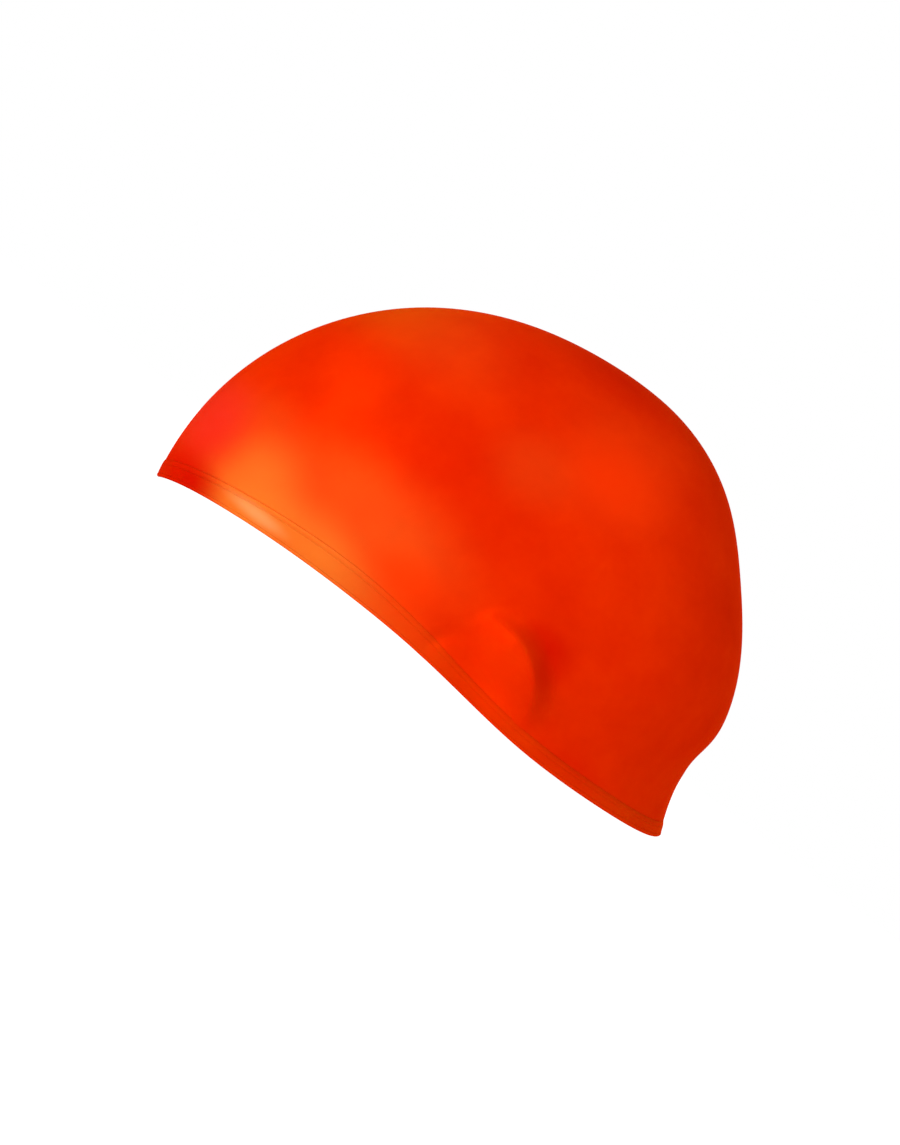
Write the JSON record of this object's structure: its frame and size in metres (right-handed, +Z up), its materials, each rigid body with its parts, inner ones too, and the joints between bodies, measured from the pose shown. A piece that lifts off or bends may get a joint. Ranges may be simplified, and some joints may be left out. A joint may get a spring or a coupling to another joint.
{
  "type": "highlighting cap",
  "caption": "Smooth one-piece rubber highlighting cap for hair, as worn, with a reinforced rim, rolled edge and moulded ear pockets.",
  "frame": {"origin": "centre of the cap's bounding box, on the flat surface that its rim stands on", "axes": "+X to the nape, -X to the forehead, +Z up to the crown, +Y to the wearer's right"},
  "size_m": [0.2185, 0.1734, 0.1286],
  "materials": {
    "cap_film": "satin",
    "rim_rubber": "satin"
  },
  "bodies": {
    "root": {"crown_shell": "cap_film", "rim_band": "rim_rubber", "band_welt": "rim_rubber", "edge_bead": "rim_rubber", "inner_hem": "rim_rubber"}
  },
  "joints": []
}
